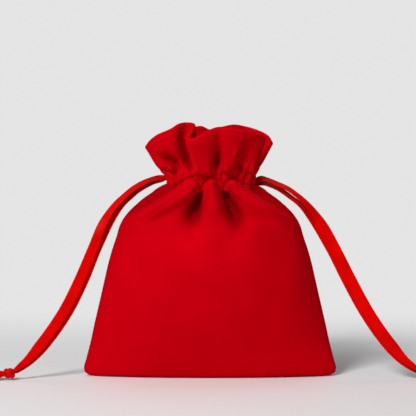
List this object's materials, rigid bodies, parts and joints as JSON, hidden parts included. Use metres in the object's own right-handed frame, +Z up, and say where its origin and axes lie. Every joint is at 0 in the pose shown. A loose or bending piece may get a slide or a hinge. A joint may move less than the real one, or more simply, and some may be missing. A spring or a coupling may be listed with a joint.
{
  "type": "drawstring pouch",
  "caption": "Small velvet gift pouch standing on its folded bottom, neck gathered shut by two flat satin drawstrings under a flared ruffle, ribbon ends knotted at each side.",
  "frame": {"origin": "on the table, at the middle of the pouch's footprint, measured without the free ribbon ends", "axes": "+Z up, the front faces -Y, +X to the right as seen from the front; the pouch is thinnest along Y"},
  "size_m": [0.1975, 0.0413, 0.1009],
  "materials": {
    "front_panel": "velvet",
    "back_panel": "velvet",
    "left_drawstring": "satin",
    "right_drawstring": "satin",
    "left_front_strand": "satin",
    "left_back_strand": "satin",
    "right_front_strand": "satin",
    "right_back_strand": "satin",
    "left_knot": "satin",
    "right_knot": "satin",
    "left_front_tail": "satin",
    "left_back_tail": "satin",
    "right_front_tail": "satin",
    "right_back_tail": "satin"
  },
  "bodies": {
    "root": {"front_panel": "front_panel", "back_panel": "back_panel", "left_drawstring": "left_drawstring", "right_drawstring": "right_drawstring", "left_front_strand": "left_front_strand", "left_back_strand": "left_back_strand", "right_front_strand": "right_front_strand", "right_back_strand": "right_back_strand", "left_knot": "left_knot", "right_knot": "right_knot", "left_front_tail": "left_front_tail", "left_back_tail": "left_back_tail", "right_front_tail": "right_front_tail", "right_back_tail": "right_back_tail"}
  },
  "joints": []
}
